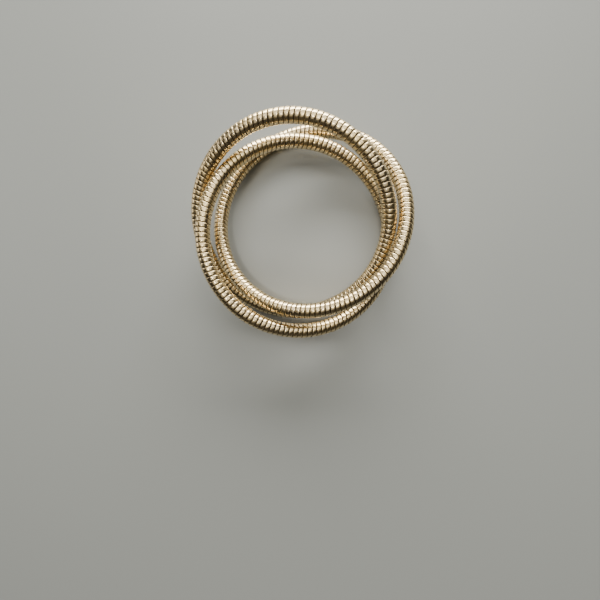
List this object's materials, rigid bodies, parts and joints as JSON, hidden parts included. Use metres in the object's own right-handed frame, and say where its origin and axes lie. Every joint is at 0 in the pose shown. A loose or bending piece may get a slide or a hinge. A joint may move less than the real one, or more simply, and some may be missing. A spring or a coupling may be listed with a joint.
{
  "type": "rolling coil bracelet",
  "caption": "Rolling bracelet of interlinked ribbed coil hoops in polished pale gold metal, fanned out on a table around an open wrist hole.",
  "frame": {"origin": "on the surface that the bracelet rests on, at the middle of its wrist opening", "axes": "+Z up, through the wrist opening; +X to the right and +Y up as the picture shows the bracelet from above"},
  "size_m": [0.0766, 0.077, 0.0264],
  "materials": {
    "gold": "polished"
  },
  "bodies": {
    "first": {"first_hoop": "gold"},
    "second": {"second_hoop": "gold"},
    "third": {"third_hoop": "gold"}
  },
  "joints": [
    {"name": "second_hoop_roll", "type": "hinge", "parent": "first", "child": "second", "pos_m": [-0.00052, -0.00372, 0.01117], "axis": [0.2645, 0.0241, 0.9641], "continuous": true},
    {"name": "third_hoop_roll", "type": "hinge", "parent": "first", "child": "third", "pos_m": [0.00224, 0.00301, 0.00997], "axis": [-0.1193, 0.1947, 0.9736], "continuous": true}
  ]
}
